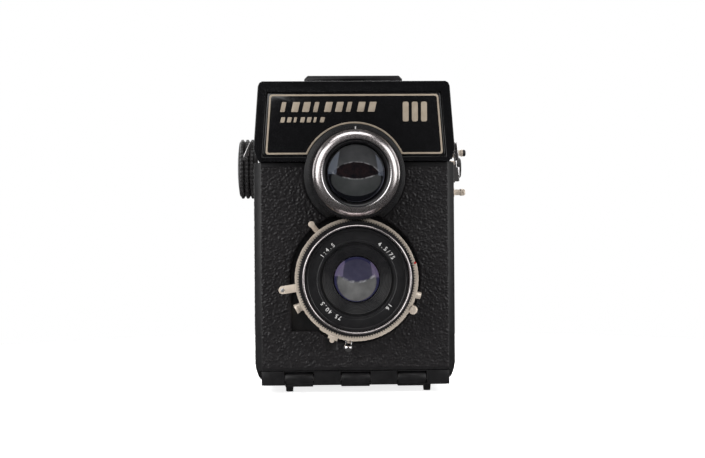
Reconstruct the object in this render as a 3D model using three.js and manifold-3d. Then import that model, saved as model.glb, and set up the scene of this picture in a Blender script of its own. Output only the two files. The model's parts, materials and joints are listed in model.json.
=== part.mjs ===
// Twin lens reflex camera for 120 roll film, as an assembly of separate solids.
// Millimetres, +Z up. X runs across the camera and the lenses look towards -Y.
// The origin is under the middle of the camera, on the surface it stands on.
import * as THREE from "three";
import { mergeVertices } from "three/addons/utils/BufferGeometryUtils.js";
import Module from "manifold-3d";

const wasm = await Module();
wasm.setup();

// ---- driving dimensions ----
const HALF_WIDTH = 40.6; // body
const TAKING_Z = 46.7; // taking lens axis
const LENS_SPACING = 41.5; // between the two lens axes
const VIEWING_Z = TAKING_Z + LENS_SPACING;
const PANEL_Y = -27; // front face of the leathered panel
const PANEL_BEVEL = 2.7;
const HOUSING_Y = -29.5; // front face of the viewfinder housing
const HOUSING_BACK_Y = 40.3;
const HOUSING_BOTTOM_Z = 93.7;
const HOUSING_TOP_Z = 126;
const BODY_FRONT_Y = -24;
const BODY_BACK_Y = 44;
const BODY_BOTTOM_Z = 5.1;
const SHOULDER_Y = 14.8; // housing in front of it, body behind it
const SHOULDER_Z = 110;
const FILM_Y = 38.5; // film plane
const FRAME_SIZE = 56; // picture side
const CHAMBER_HALF = 31.5; // half-width of the film chambers
const SPOOL_X = 30.8; // half-length of a 120 spool
const SPOOL_R = 12.4;
const TAKE_UP = { y: 31, z: 93.3 };
const SUPPLY = { y: -6, z: 17.9 };
const MIRROR_SHIFT = VIEWING_Z - 2.2; // the mirror's face is the plane z = y + MIRROR_SHIFT
const HINGE = { y: -23.7, z: 6 }; // back door
const LID_HINGE = { y: -23.5, z: 125 };
const TOOTH_MODULE = LENS_SPACING / 126; // the two focusing rings have 140 and 112 teeth
const TAKING_TEETH = 140;
const VIEWING_TEETH = 112;
const GEAR_Y = [-42.5, -40];
const CASE_R = 23.4; // shutter case
const CASE_BACK_Y = -25.8;
const GROOVE_R = 20;
const BLADE_PIVOT_R = 15.5;
const STRAP_Z = 98;
const GAP = 0.3;

// ---- materials ----
const finish = (color, roughness, metalness) =>
  new THREE.MeshStandardMaterial({ color, roughness, metalness });
const leather = finish(0x1c1a1c, 0.7, 0);
const gloss = finish(0x0a0a0c, 0.15, 0);
const black = finish(0x141416, 0.45, 0.3);
const chrome = finish(0xd8d2d2, 0.12, 1);
const nickel = finish(0xbeafa0, 0.35, 1);
const steel = finish(0x9a9a9c, 0.4, 1);
const glass = finish(0x39404a, 0.05, 0);
const silvered = finish(0xf0f0f2, 0.03, 1);
const redWindow = finish(0x7a1010, 0.2, 0);

// ---- solids ----
const CURVE_STEPS = 8;
const MERGE_DISTANCE = 1e-4;

// A closed three.js geometry as a manifold solid, with its faces turned outwards.
function solid(geometry) {
  const bare = geometry.index ? geometry.toNonIndexed() : geometry.clone();
  bare.deleteAttribute("normal");
  bare.deleteAttribute("uv");
  const merged = mergeVertices(bare, MERGE_DISTANCE);
  const index = merged.index.array;
  const corners = [];
  for (let i = 0; i < index.length; i += 3) {
    const [a, b, c] = [index[i], index[i + 1], index[i + 2]];
    if (a !== b && b !== c && c !== a) corners.push([a, b, c]);
  }
  const build = (faces) =>
    new wasm.Manifold(
      new wasm.Mesh({
        numProp: 3,
        vertProperties: merged.attributes.position.array,
        triVerts: Uint32Array.from(faces.flat()),
      }),
    );
  const made = build(corners);
  return made.volume() < 0 ? build(corners.map(([a, b, c]) => [a, c, b])) : made;
}

const join = (...pieces) => pieces.reduce((a, b) => a.add(b));
const cut = (piece, ...tools) => tools.reduce((a, b) => a.subtract(b), piece);

function box([x0, x1], [y0, y1], [z0, z1]) {
  const g = new THREE.BoxGeometry(x1 - x0, y1 - y0, z1 - z0);
  return solid(g.translate((x0 + x1) / 2, (y0 + y1) / 2, (z0 + z1) / 2));
}

const outline = (points) => new THREE.Shape(points.map(([a, b]) => new THREE.Vector2(a, b)));
const extruded = (shape, depth) =>
  new THREE.ExtrudeGeometry(shape, { depth, bevelEnabled: false, steps: 1, curveSegments: CURVE_STEPS });

// Prisms whose outline is drawn in the two axes that the name leaves out.
const AXES = {
  x: new THREE.Matrix4().set(0, 0, 1, 0, 1, 0, 0, 0, 0, 1, 0, 0, 0, 0, 0, 1), // outline (y, z)
  y: new THREE.Matrix4().set(1, 0, 0, 0, 0, 0, -1, 0, 0, 1, 0, 0, 0, 0, 0, 1), // outline (x, z)
  z: new THREE.Matrix4(), // outline (x, y)
};
function prism(axis, points, from, to) {
  const shape = Array.isArray(points) ? outline(points) : points;
  const g = extruded(shape, to - from);
  g.translate(0, 0, axis === "y" ? -to : from);
  return solid(g.applyMatrix4(AXES[axis]));
}

const mirrored = (points) => [...points, ...points.map(([x, z]) => [-x, z]).reverse()];

// A solid of revolution about an axis along Y through (x, z); the profile is (radius, y).
function turned(profile, z = TAKING_Z, segments = 32, x = 0) {
  const points = [...profile, profile[0]].map(([r, y]) => new THREE.Vector2(r, y));
  return solid(new THREE.LatheGeometry(points, segments).translate(x, 0, z));
}
const ring = (outer, inner, [y0, y1], z, segments, x) =>
  turned([[outer, y0], [outer, y1], [inner, y1], [inner, y0]], z, segments, x);

function rod(axis, radius, [from, to], [a, b], segments = 24, tip = radius) {
  const g = new THREE.CylinderGeometry(radius, tip, to - from, segments);
  g.translate(0, (from + to) / 2, 0);
  if (axis === "x") g.rotateZ(-Math.PI / 2).translate(0, a, b);
  if (axis === "y") g.translate(a, 0, b);
  if (axis === "z") g.rotateX(Math.PI / 2).translate(a, b, 0);
  return solid(g);
}

// A solid of revolution about an axis along X; the profile is (radius, x).
function turnedX(profile, y, z, segments = 24) {
  const points = [...profile, profile[0]].map(([r, x]) => new THREE.Vector2(r, x));
  const g = new THREE.LatheGeometry(points, segments).rotateZ(-Math.PI / 2);
  return solid(g.translate(0, y, z));
}

const camera = new THREE.Group();

// A manifold solid as a three.js geometry again.
function geometryOf(shape) {
  const mesh = shape.getMesh();
  const g = new THREE.BufferGeometry();
  g.setAttribute("position", new THREE.BufferAttribute(mesh.vertProperties, 3));
  return g.setIndex(new THREE.BufferAttribute(mesh.triVerts, 1));
}

function piece(name, shape, material) {
  const flat = geometryOf(shape).toNonIndexed();
  flat.computeVertexNormals();
  const made = new THREE.Mesh(flat, material);
  made.name = name;
  camera.add(made);
}

// A point at a radius and an angle about the taking lens, seen from the front.
function around(radius, degrees) {
  const a = THREE.MathUtils.degToRad(degrees);
  return [radius * Math.cos(a), TAKING_Z + radius * Math.sin(a)];
}

// ---- body ----
const LOWER_CORNER = [
  [38, BODY_BOTTOM_Z - 1],
  [38, BODY_BOTTOM_Z],
  [39.3, 7],
  [40.2, 9.5],
  [HALF_WIDTH, 12],
];

function bodyOutline(half) {
  const s = new THREE.Shape();
  const r = 5;
  s.moveTo(-half, BODY_FRONT_Y);
  s.lineTo(half, BODY_FRONT_Y);
  s.lineTo(half, BODY_BACK_Y - r);
  s.absarc(half - r, BODY_BACK_Y - r, r, 0, Math.PI / 2, false);
  s.absarc(-half + r, BODY_BACK_Y - r, r, Math.PI / 2, Math.PI, false);
  return s;
}

const lightCone = () => {
  const [y0, y1, start] = [-20, FILM_Y + 0.2, 8.7];
  const half = FRAME_SIZE / 2;
  const side = [
    [y0, TAKING_Z - start],
    [y1, TAKING_Z - half],
    [y1, TAKING_Z + half],
    [y0, TAKING_Z + start],
  ];
  const plan = [[-start, y0], [start, y0], [half, y1], [-half, y1]];
  return prism("x", side, -half, half).intersect(prism("z", plan, 0, 90));
};

const HINGE_BAND_TOP = 9;
const DOOR_KNUCKLES = [[-28.5, -17.2], [-5.75, 5.75], [17.2, 28.5]];
const KNUCKLE_R = 2.8;
const KNUCKLE_CLEARANCE_R = 3.9;

function bodyShell() {
  const lower = prism("z", bodyOutline(HALF_WIDTH), BODY_BOTTOM_Z, HOUSING_BOTTOM_Z - GAP);
  const corners = prism(
    "y",
    mirrored([...LOWER_CORNER, [HALF_WIDTH, SHOULDER_Z + 1]]),
    PANEL_Y,
    BODY_BACK_Y + 1,
  );
  const upper = prism("z", bodyOutline(38.4), HOUSING_BOTTOM_Z - 1, SHOULDER_Z)
    .intersect(box([-50, 50], [SHOULDER_Y + GAP, 60], [0, 200]));
  const band = box([-38, 38], [-26.5, -21], [3.4, HINGE_BAND_TOP]);
  const [low, high] = [63.5, MIRROR_SHIFT - 3.82];
  const mirrorSpace = [
    [-24.1, low],
    [low - high, low],
    [SHOULDER_Z - 5.3 - high, SHOULDER_Z - 5.3],
    [SHOULDER_Z - 5.3 - high, SHOULDER_Z + 0.1],
    [-24.1, SHOULDER_Z + 0.1],
  ];
  const across = [-CHAMBER_HALF, CHAMBER_HALF];
  let shell = join(lower.intersect(corners), upper, band);
  shell = cut(
    shell,
    lightCone(),
    rod("y", 14.5, [-24.1, -15.5], [0, TAKING_Z], 32),
    prism("x", mirrorSpace, -28.5, 28.5),
    box([-31, 31], [FILM_Y, 45], [12, 104]),
    rod("x", 13.2, across, [SUPPLY.y, SUPPLY.z]),
    box(across, [SUPPLY.y, 45], [5, 14.5]),
    box(across, [SUPPLY.y - 13.2, SUPPLY.y + 13.2], [5, SUPPLY.z]),
    rod("x", 12.9, across, [TAKE_UP.y, TAKE_UP.z]),
    box(across, [TAKE_UP.y, 45], [80.4, 106.2]),
    rod("x", 3, [-50, -31], [TAKE_UP.y, TAKE_UP.z]),
    rod("x", 2.6, [31, 50], [TAKE_UP.y, TAKE_UP.z]),
    rod("x", 1.5, [-38.5, 38.5], [HINGE.y, HINGE.z], 16),
  );
  for (const [x0, x1] of DOOR_KNUCKLES) {
    const room = [x0 - GAP, x1 + GAP];
    shell = cut(
      shell,
      rod("x", KNUCKLE_CLEARANCE_R, room, [HINGE.y, HINGE.z]),
      box(room, [-27, -19.8], [3, HINGE.z]),
    );
  }
  return shell;
}

piece("body_shell", bodyShell(), black);

// ---- front panel ----
const PANEL_BACK_Y = BODY_FRONT_Y - GAP;
const RECESS_R = 26.3;
const RECESS_Y = -25.5;
const BARREL_BORE_R = 16.9;

function frontPanel() {
  const flat = HALF_WIDTH - PANEL_BEVEL;
  const plan = [[-HALF_WIDTH, PANEL_BACK_Y], [-HALF_WIDTH, -24.6], [-flat, PANEL_Y]];
  const face = [...plan, ...plan.map(([x, y]) => [-x, y]).reverse()].reverse();
  const front = [[39.9, HINGE_BAND_TOP + GAP], [HALF_WIDTH, 12], [HALF_WIDTH, HOUSING_BOTTOM_Z - GAP]];
  return cut(
    prism("z", face, 0, 100).intersect(prism("y", mirrored(front), -40, 0)),
    rod("y", RECESS_R, [PANEL_Y - 1, RECESS_Y], [0, TAKING_Z], 48),
    box([-25.8, 0], [PANEL_Y - 1, RECESS_Y], [TAKING_Z - 21.5, TAKING_Z - 2.7]),
    rod("y", 14.7, [-28, -24], [0, TAKING_Z], 32),
    rod("y", BARREL_BORE_R, [-28, -24], [0, VIEWING_Z], 40),
    box([-12, -7.5], [PANEL_Y - 1, PANEL_Y + 0.5], [17.3, 21.7]),
  );
}
piece("front_panel", frontPanel(), leather);

// ---- viewfinder housing ----
const WELL_X = 29.3;
const WELL_Y = [-25, 35];
const SCREEN_Z = [112.3, 115.3];

// Half of an outline that widens towards the bottom as the housing's sides do.
const sideX = (z, top) => top + ((124 - z) * 1.9) / 25.6;

function housing() {
  const half = [
    [38.5, HOUSING_BOTTOM_Z],
    [sideX(98.4, 38.7), 98.4],
    [38.7, 124],
    [38.1, 125.4],
    [36.9, HOUSING_TOP_Z],
  ];
  return cut(
    prism("y", mirrored(half), HOUSING_Y, HOUSING_BACK_Y),
    box([-45, 45], [SHOULDER_Y, 45], [90, SHOULDER_Z + GAP]),
    box([-WELL_X, WELL_X], WELL_Y, [111.5, 127]),
    box([-28.5, 28.5], [WELL_Y[0], 22.5], [93, 112]),
    rod("y", BARREL_BORE_R, [-30, -24], [0, VIEWING_Z], 40),
    platePrism(1, HOUSING_Y - 1, HOUSING_Y + 1.2),
  );
}

// The name plate's outline, grown by a margin: a trapezoid that the viewing lens bites into.
function platePrism(margin, y0, y1) {
  const [top, bottom] = [120.7 + margin, 96.5 - margin];
  const half = [[sideX(bottom, 34) + margin, bottom], [sideX(top, 34) + margin, top]];
  return cut(
    prism("y", mirrored(half), y0, y1),
    rod("y", 20.7 - margin, [y0 - 1, y1 + 1], [0, VIEWING_Z], 48),
  );
}
piece("viewfinder_housing", housing(), gloss);
piece("name_plate", platePrism(0.6, HOUSING_Y + 0.4, HOUSING_Y + 0.9), gloss);

// ---- reflex mirror and screen ----
// A sheet parallel to the mirror's face, between two depths measured behind that face.
function mirrorSheet(front, back, half, grow) {
  const corner = (y, depth) => [y + depth / Math.SQRT2, y + MIRROR_SHIFT - depth / Math.SQRT2];
  const [y0, y1] = [-19 - grow, 20 + grow];
  const profile = [corner(y0, front), corner(y1, front), corner(y1, back), corner(y0, back)];
  return prism("x", profile.reverse(), -half, half);
}
piece("reflex_mirror", mirrorSheet(0, 1.2, 26, 0), silvered);
piece("mirror_cradle", mirrorSheet(1.5, 2.4, 27.5, 0.5), black);
piece("focusing_screen", box([-28.7, 28.7], [-24, 28], SCREEN_Z), glass);

// ---- viewing lens ----
const BARREL_R = 16.6;

function viewingBarrel() {
  const collar = join(
    ring(20.4, 14.2, [-31.5, HOUSING_Y - GAP], VIEWING_Z),
    ring(20.4, 14.2, [-31.5, PANEL_Y - GAP], VIEWING_Z)
      .intersect(box([-30, 30], [-40, 0], [0, HOUSING_BOTTOM_Z - 0.6])),
  );
  return join(
    cut(collar, rod("y", RECESS_R + GAP, [-40, -20], [0, TAKING_Z], 48)),
    ring(BARREL_R, 14.2, [-42.2, -24.3], VIEWING_Z),
  );
}
piece("viewing_lens_barrel", viewingBarrel(), black);

const lensElement = (radius, [front, back], bulge, z) =>
  turned([[0, front - bulge], [radius * 0.6, front - bulge * 0.64], [radius, front],
    [radius, back], [0, back]], z, 28);

piece("viewing_rear_element", lensElement(13.9, [-36, -33], 1.5, VIEWING_Z), glass);

// A ring with triangular teeth; a tooth or a space may point at the other lens.
function toothedRing(teeth, inner, z, startAngle) {
  const pitchR = (teeth * TOOTH_MODULE) / 2;
  const shape = new THREE.Shape();
  for (let i = 0; i < teeth; i += 1) {
    for (const [part, r] of [[0, pitchR + 0.24], [0.5, pitchR - 0.36]]) {
      const a = startAngle + ((i + part) * 2 * Math.PI) / teeth;
      const point = [r * Math.cos(a), r * Math.sin(a)];
      if (i + part === 0) shape.moveTo(...point);
      else shape.lineTo(...point);
    }
  }
  const hole = new THREE.Path();
  hole.absarc(0, 0, inner, 0, 2 * Math.PI, true);
  shape.holes.push(hole);
  const g = new THREE.ExtrudeGeometry(shape, {
    depth: GEAR_Y[1] - GEAR_Y[0],
    bevelEnabled: false,
    curveSegments: 24,
  });
  return solid(g.translate(0, 0, -GEAR_Y[1]).applyMatrix4(AXES.y).translate(0, 0, z));
}
const toothAngle = Math.PI / VIEWING_TEETH;
piece("viewing_focus_ring", toothedRing(VIEWING_TEETH, 16.9, VIEWING_Z, -Math.PI / 2 + toothAngle), black);
piece(
  "viewing_bezel",
  turned(
    [[17.1, -42.8], [14.6, -42.8], [14.6, -44], [13.3, -44], [13.3, -49.4], [14.4, -50.4], [15.8, -50.2],
      [17.1, -48.4]],
    VIEWING_Z,
    36,
  ),
  chrome,
);
piece("viewing_front_cell", ring(13, 11.5, [-48.4, -43], VIEWING_Z, 36), black);
piece("viewing_front_element", lensElement(11.2, [-46.4, -43.6], 1.6, VIEWING_Z), glass);

// ---- shutter and taking lens ----
function shutterCase() {
  const grooves = [[-36.3, -34.7], [-33.5, -31.9], [-30.7, -29.1]];
  const grooved = grooves.flatMap(([y0, y1]) => [
    [CASE_R, y0],
    [GROOVE_R, y0],
    [GROOVE_R, y1],
    [CASE_R, y1],
  ]);
  return turned([
    [17.8, -42.2], [17.8, -37.5], [CASE_R, -37.5], ...grooved, [CASE_R, CASE_BACK_Y], [10, CASE_BACK_Y],
    [10, -26.8], [18.5, -26.8], [18.5, -31.4], [10, -31.4], [10, -32.6], [14, -32.6], [14, -42.2],
  ]);
}
piece("shutter_case", shutterCase(), black);
piece("taking_middle_element", lensElement(13.6, [-36.4, -33.2], 1, TAKING_Z), glass);
piece("taking_rear_cell", ring(14.2, 9.6, [-24.9, -16], TAKING_Z, 32), black);
piece("taking_rear_element", lensElement(9.2, [-21.5, -18], 0.8, TAKING_Z), glass);

piece("taking_focus_ring", toothedRing(TAKING_TEETH, 18.1, TAKING_Z, Math.PI / 2), black);
piece("taking_rim", ring(21.3, 20.45, [-51, -42.8], TAKING_Z, 56), chrome);
piece(
  "lens_face_ring",
  turned([[20.1, -48], [20.1, -43.2], [9.1, -43.2], [9.1, -44.8], [13.6, -47.2], [14.6, -48]]),
  black,
);
piece("taking_front_element", lensElement(8.8, [-45.4, -43.6], 1.4, TAKING_Z), glass);

const SPEED_Y = [-39.6, -37.8];
piece(
  "speed_ring",
  cut(
    join(
      rod("y", 24.3, SPEED_Y, [0, TAKING_Z], 48),
      rod("y", 1.8, SPEED_Y, around(25.7, -29.1), 16),
    ),
    rod("y", 18.2, [-41, -36], [0, TAKING_Z], 40),
  ),
  nickel,
);

// A lever that turns in a groove of the shutter case: a foot in the groove and a radial arm.
function lever(angle, reach, width, [y0, y1], footHalf, tip) {
  const foot = prism("y", [
    ...[-1, 0, 1].map((k) => around(23.1, angle + k * footHalf)),
    ...[1, 0, -1].map((k) => around(20.35, angle + k * footHalf)),
  ], y0, y1);
  const bar = solid(
    new THREE.BoxGeometry(reach - 21, y1 - y0, width)
      .translate((reach + 21) / 2, (y0 + y1) / 2, 0)
      .rotateY(-THREE.MathUtils.degToRad(angle))
      .translate(0, 0, TAKING_Z),
  );
  return join(foot, bar, tip);
}
const GROOVE_A = [-36, -35];
const GROOVE_B = [-33.2, -32.2];
const GROOVE_C = [-30.4, -29.4];
const ball = (r, [x, z], y) => solid(new THREE.SphereGeometry(r, 12, 8).translate(x, y, z));

piece(
  "release_lever",
  lever(188.6, 29.5, 3.2, GROOVE_A, 7, rod("y", 1.6, GROOVE_A, around(29.5, 188.6), 20)),
  nickel,
);
piece(
  "aperture_lever",
  lever(129, 27.9, 2, GROOVE_A, 5, rod("y", 1.25, [-38, -35], around(27.9, 129), 16)),
  nickel,
);
piece("cocking_lever", lever(263.5, 28, 2.4, GROOVE_B, 7, ball(1.9, around(28, 263.5), -32.7)), chrome);
piece(
  "self_timer_lever",
  lever(249, 26.4, 4, GROOVE_C, 6, rod("y", 1, GROOVE_C, around(26.8, 249), 16)),
  nickel,
);
// A short tube that stands out from the case at an angle; the profile is (radius, reach).
function radialTube(profile, angle, y) {
  const points = [...profile, profile[0]].map(([r, reach]) => new THREE.Vector2(r, reach));
  const g = new THREE.LatheGeometry(points, 20).rotateZ(-Math.PI / 2);
  return solid(g.rotateY(-THREE.MathUtils.degToRad(angle)).translate(0, y, TAKING_Z));
}
const SOCKET_FOOT = CASE_R + GAP;
piece(
  "flash_sync_socket",
  radialTube(
    [[0.9, SOCKET_FOOT], [1.7, SOCKET_FOOT], [1.7, 26], [1.95, 26], [1.95, 27.2], [0.9, 27.2]],
    207.5,
    -28.2,
  ),
  nickel,
);
piece(
  "cable_release_socket",
  radialTube(
    [[0.8, SOCKET_FOOT], [1.7, SOCKET_FOOT], [1.7, 24.7], [1.4, 24.7], [1.4, 27.4], [0.8, 27.4]],
    -15.8,
    -29.1,
  ),
  nickel,
);

// A blade drawn open, with its pivot at angle 0, then swung about the pivot and about the lens.
function blade(inner, place, closed, y) {
  const s = new THREE.Shape();
  const [near, far] = [0.07, 1.15];
  s.absarc(0, 0, 16.8, near, far, false);
  s.absarc(0, 0, inner, far, near, true);
  const strip = extruded(s, 0.2);
  const boss = new THREE.CylinderGeometry(1.8, 1.8, 0.2, 10).rotateX(Math.PI / 2);
  const g = geometryOf(join(solid(strip), solid(boss.translate(BLADE_PIVOT_R, 0, 0.1))));
  g.translate(-BLADE_PIVOT_R, 0, 0).rotateZ(THREE.MathUtils.degToRad(closed));
  g.translate(BLADE_PIVOT_R, 0, 0).rotateZ(THREE.MathUtils.degToRad(place));
  return solid(g.applyMatrix4(AXES.y).translate(0, y, TAKING_Z));
}
const APERTURE_BLADES = 5;
for (let i = 0; i < APERTURE_BLADES; i += 1)
  piece(`aperture_blade_${i + 1}`, blade(9.6, i * 72 + 18, 0, -30.8 + 0.5 * i), steel);
const SHUTTER_BLADES = 2;
for (let i = 0; i < SHUTTER_BLADES; i += 1)
  piece(`shutter_blade_${i + 1}`, blade(8, i * 180 + 40, 35, -28.2 + 0.7 * i), steel);

// ---- film advance ----
const KNOB_R = 13.1;
function advanceKnob() {
  const profile = [[0, -49.5], [11.6, -48.9], [12.6, -48.3]];
  for (let i = 0; i < 3; i += 1) {
    const x = -47.9 + i * 2.2;
    profile.push([KNOB_R, x], [KNOB_R, x + 1.4], [12.1, x + 1.8]);
  }
  profile.push([12.1, -41], [0, -41]);
  return turnedX(profile, TAKE_UP.y, TAKE_UP.z, 28);
}
piece("advance_knob", advanceKnob(), black);
piece("advance_shaft", rod("x", 2.7, [-40.7, -27], [TAKE_UP.y, TAKE_UP.z]), steel);
piece(
  "take_up_spool",
  turnedX(
    [[SPOOL_R, -SPOOL_X], [SPOOL_R, 1.2 - SPOOL_X], [5, 1.2 - SPOOL_X], [5, SPOOL_X - 1.2],
      [SPOOL_R, SPOOL_X - 1.2], [SPOOL_R, SPOOL_X], [3, SPOOL_X], [3, -SPOOL_X]],
    TAKE_UP.y,
    TAKE_UP.z,
    20,
  ),
  black,
);
piece(
  "take_up_pull_knob",
  turnedX(
    [[0, 27.5], [2.3, 27.5], [2.3, 47.4], [4.45, 47.4], [4.45, 49.2], [4.1, 49.5], [0, 49.5]],
    TAKE_UP.y,
    TAKE_UP.z,
  ),
  black,
);

// ---- fittings on the sides ----
const stud = (baseR, headR, headX, z) =>
  turnedX(
    [
      [0, 40.95],
      [baseR, 40.95],
      [baseR, 41.85],
      [1.2, 42.25],
      [1.2, headX - 2.2],
      [headR, headX - 1.9],
      [headR, headX - 0.5],
      [headR * 0.7, headX],
      [0, headX],
    ],
    STRAP_Y,
    z,
    16,
  );
const STRAP_Y = -6;
const LUG_Y = -16;
piece("upper_bracket_stud", stud(2.55, 1.5, 47.6, STRAP_Z), chrome);
piece("lower_bracket_stud", stud(2.25, 1.45, 47.3, 81.5), chrome);

const SHOE_Y = 13.5;
const SHOE_Z = [86.5, 95.3];
function accessoryShoe() {
  const half = [[41, 10.7], [45.9, 10.7], [45.9, 6.3], [44.5, 6.3], [44.5, 9.3], [42.5, 9.3]];
  const plan = [...half, ...half.map(([x, y]) => [x, -y]).reverse()];
  return cut(
    prism("z", plan.map(([x, y]) => [x, y + SHOE_Y]).reverse(), ...SHOE_Z),
    box([44.8, 48], [0, 30], [92.6, 96]),
  );
}
piece("accessory_shoe", accessoryShoe(), steel);

// A riveted lug: a slotted plate that leans outwards from its pad on the camera's side.
function strapLug(side, topX, lean) {
  const plate = cut(box([-0.5, 0.5], [-5, 5], [-6.6, 0.4]), box([-1, 1], [-3.4, 3.4], [-5.2, -2.2]));
  const g = geometryOf(plate);
  g.rotateY(side * THREE.MathUtils.degToRad(-lean)).translate(side * topX, LUG_Y, STRAP_Z + 3);
  const pad = box(
    [40.95, topX + 0.3].map((x) => side * x).sort((a, b) => a - b),
    [LUG_Y - 4, LUG_Y + 4],
    [STRAP_Z + 1.6, STRAP_Z + 3.8],
  );
  return join(solid(g), pad);
}
piece("left_strap_lug", strapLug(-1, 42.3, 24), chrome);
piece("right_strap_lug", strapLug(1, 42, 6), chrome);

// ---- back door ----
const DOOR_BOTTOM = [2.6, 4.8];
const DOOR_BACK_Y = 48.2;
const FEET_X = [-26.8, 29.6];
const FEET_Y = [-17.5, 40];
const BUSH = { x: 0, y: 24 };
const WINDOW_Z = 32;

function backDoor() {
  const plate = box([-37.5, 37.5], [-19.9, DOOR_BACK_Y - 1], DOOR_BOTTOM);
  const r = 3.4;
  const plan = new THREE.Shape();
  plan.moveTo(-40.4, BODY_BACK_Y + 0.4);
  plan.lineTo(40.4, BODY_BACK_Y + 0.4);
  plan.absarc(40.4 - r, DOOR_BACK_Y - r, r, 0, Math.PI / 2, false);
  plan.absarc(-40.4 + r, DOOR_BACK_Y - r, r, Math.PI / 2, Math.PI, false);
  const corners = mirrored([[37.5, DOOR_BOTTOM[0]], [39.3, 7], [40.4, 12], [40.4, 109.7]]);
  let door = join(
    plate,
    prism("z", plan, DOOR_BOTTOM[0], 109.7).intersect(prism("y", corners, 0, 60)),
  );
  for (const [x0, x1] of DOOR_KNUCKLES)
    door = join(
      door,
      rod("x", KNUCKLE_R, [x0, x1], [HINGE.y, HINGE.z]),
      box([x0, x1], [HINGE.y - 1, -19], [DOOR_BOTTOM[0], 4.4]),
    );
  for (const x of FEET_X)
    for (const y of FEET_Y) door = join(door, rod("z", 1.65, [0, 3], [x, y], 16, 1.45));
  for (const x of [-7.2, 7.2])
    door = join(door, box([x - 0.8, x + 0.8], [DOOR_BACK_Y - 0.5, 50.2], [WINDOW_Z - 8, WINDOW_Z + 19]));
  return cut(
    door,
    rod("x", 1.5, [-38, 38], [HINGE.y, HINGE.z], 16),
    rod("z", 8.3, [0, 6], [BUSH.x, BUSH.y], 28),
    rod("y", 5, [44, 50], [0, WINDOW_Z]),
  );
}
piece("back_door", backDoor(), leather);
piece("door_hinge_pin", rod("x", 1.2, [-37.5, 37.5], [HINGE.y, HINGE.z], 16), steel);
piece(
  "tripod_bush",
  cut(rod("z", 8, [1, 6.5], [BUSH.x, BUSH.y], 28), rod("z", 3.2, [0, 8], [BUSH.x, BUSH.y], 20)),
  steel,
);
piece("pressure_plate", box([-30, 30], [40.2, 41.2], [20, 73.5]), black);
const springArc = [[44, 30], [42.4, 37], [41.6, 47], [42.4, 57], [44, 64]];
piece(
  "pressure_spring",
  prism("x", [...springArc, ...springArc.map(([y, z]) => [y + 0.35, z]).reverse()].reverse(), -5, 5),
  steel,
);
piece("film_counter_window", rod("y", 4.7, [45, 46.2], [0, WINDOW_Z]), redWindow);
piece("window_shutter", box([-6, 6], [48.6, 49.6], [WINDOW_Z - 6.5, WINDOW_Z + 6.5]), black);
piece(
  "door_latch",
  join(box([-9, 9], [48.6, 49.8], [99, 108]), box([-3, 3], [49.5, 51], [100.5, 106.5])),
  nickel,
);

// ---- hood ----
const FLAP_WIDTH = 18;
const FLAP_THICKNESS = 1.2;
const SIDE_FLAP = { x: 28, z: 117.6 };
const BACK_FLAP = { y: 33.5, z: 119.2 };

piece("hood_lid", box([-28, 28], [LID_HINGE.y - 0.7, 33.7], [124, 126]), black);
const coverHalf = [[20, 126.3], [20, 127.6], [18.6, 129]];
piece(
  "lid_cover",
  cut(
    prism("y", mirrored(coverHalf), -21.5, 31),
    prism("y", mirrored([[6, 126], [5, 127.3]]), -22, -17.5),
  ),
  leather,
);
piece(
  "hood_back_flap",
  prism(
    "z",
    [
      [-26, BACK_FLAP.y],
      [-26 + FLAP_WIDTH, BACK_FLAP.y - FLAP_WIDTH],
      [26 - FLAP_WIDTH, BACK_FLAP.y - FLAP_WIDTH],
      [26, BACK_FLAP.y],
    ].reverse(),
    BACK_FLAP.z,
    BACK_FLAP.z + FLAP_THICKNESS,
  ),
  black,
);
for (const [name, side] of [["hood_left_flap", -1], ["hood_right_flap", 1]]) {
  const [y0, y1] = [-21, 31.5];
  const inner = SIDE_FLAP.x - FLAP_WIDTH;
  const plan = [[SIDE_FLAP.x, y0], [SIDE_FLAP.x, y1], [inner, y1 - FLAP_WIDTH], [inner, y0 + FLAP_WIDTH]];
  const points = plan.map(([x, y]) => [side * x, y]);
  piece(name, prism("z", points, SIDE_FLAP.z, SIDE_FLAP.z + FLAP_THICKNESS), black);
}
const MAGNIFIER = { y: 22, z: 122.2, length: 21, half: 10.3 };
const magnifierMiddle = MAGNIFIER.y - MAGNIFIER.length / 2;
piece(
  "magnifier_frame",
  cut(
    box(
      [-MAGNIFIER.half, MAGNIFIER.half],
      [MAGNIFIER.y - MAGNIFIER.length, MAGNIFIER.y],
      [120.9, 123.5],
    ),
    rod("z", 8.8, [120, 125], [0, magnifierMiddle], 28),
  ),
  black,
);
piece("magnifier_lens", rod("z", 8.5, [121.2, 123.2], [0, magnifierMiddle], 28), glass);

export default camera;
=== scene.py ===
"""Looks of the twin lens reflex camera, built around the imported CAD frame."""

import json
from math import atan2, cos, hypot, pi, radians, sin, sqrt

import bmesh
import bpy
from mathutils import Matrix, Vector, noise


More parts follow.
